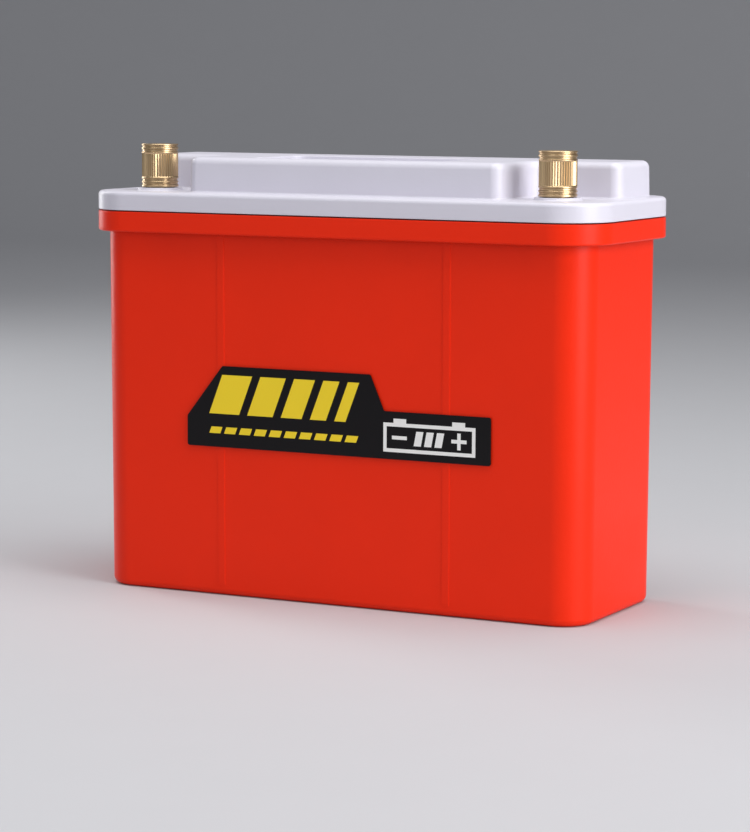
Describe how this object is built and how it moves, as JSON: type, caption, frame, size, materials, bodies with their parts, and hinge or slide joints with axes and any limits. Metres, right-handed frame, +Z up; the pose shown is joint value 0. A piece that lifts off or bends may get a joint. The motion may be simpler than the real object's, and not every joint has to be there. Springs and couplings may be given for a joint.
{
  "type": "motorcycle battery",
  "caption": "Sealed lithium motorcycle battery: red moulded case, white lid with a raised housing, brass posts on the front corners and a black label.",
  "frame": {"origin": "middle of the underside of the case", "axes": "+X along the case from the left post towards the right post, +Y towards the back, away from the posts' side, +Z up"},
  "size_m": [0.205, 0.081, 0.1643],
  "materials": {
    "red_plastic": "satin moulded",
    "white_plastic": "satin moulded",
    "black_rubber": "matte",
    "brass": "turned",
    "zinc_plated_steel": "plated",
    "tinned_copper": "tinned",
    "nickel_plated_copper": "plated",
    "cell_wrap": "shrink film",
    "aluminium": "satin",
    "black_foam": "closed-cell foam",
    "glass_tape": "woven tape",
    "glass_laminate": "laminate",
    "circuit_board": "solder mask",
    "white_nylon": "moulded",
    "red_silicone": "satin",
    "black_silicone": "satin",
    "black_label": "printed film"
  },
  "bodies": {
    "root": {"balance_plug": "white_nylon", "board_tray": "glass_laminate", "bottom_pad": "black_foam", "busbar_front": "nickel_plated_copper", "busbar_rear": "nickel_plated_copper", "busbar_right": "nickel_plated_copper", "case": "red_plastic", "cell_band_lower": "glass_tape", "cell_band_upper": "glass_tape", "cell_divider_front": "glass_laminate", "cell_divider_long": "glass_laminate", "cell_divider_rear": "glass_laminate", "cell_front_left": "cell_wrap", "cell_front_left_inner_terminal": "aluminium", "cell_front_left_outer_terminal": "aluminium", "cell_front_right": "cell_wrap", "cell_front_right_inner_terminal": "aluminium", "cell_front_right_outer_terminal": "aluminium", "cell_rear_left": "cell_wrap", "cell_rear_left_inner_terminal": "aluminium", "cell_rear_left_outer_terminal": "aluminium", "cell_rear_right": "cell_wrap", "cell_rear_right_inner_terminal": "aluminium", "cell_rear_right_outer_terminal": "aluminium", "foam_front": "black_foam", "foam_left": "black_foam", "foam_rear": "black_foam", "foam_right": "black_foam", "front_label": "black_label", "heat_sink": "aluminium", "lid": "white_plastic", "lid_gasket": "black_rubber", "negative_lead": "black_silicone", "negative_post": "brass", "negative_post_lug": "tinned_copper", "negative_post_nut": "zinc_plated_steel", "negative_post_seal": "black_rubber", "negative_post_washer": "zinc_plated_steel", "negative_strap": "nickel_plated_copper", "positive_lead": "red_silicone", "positive_pack_lug": "tinned_copper", "positive_post": "brass", "positive_post_lug": "tinned_copper", "positive_post_nut": "zinc_plated_steel", "positive_post_seal": "black_rubber", "positive_post_washer": "zinc_plated_steel", "protection_board": "circuit_board", "screw_front_left_inner": "zinc_plated_steel", "screw_front_left_outer": "zinc_plated_steel", "screw_front_right_inner": "zinc_plated_steel", "screw_front_right_outer": "zinc_plated_steel", "screw_rear_left_inner": "zinc_plated_steel", "screw_rear_left_outer": "zinc_plated_steel", "screw_rear_right_inner": "zinc_plated_steel", "screw_rear_right_outer": "zinc_plated_steel", "sense_wires": "black_silicone"}
  },
  "joints": []
}
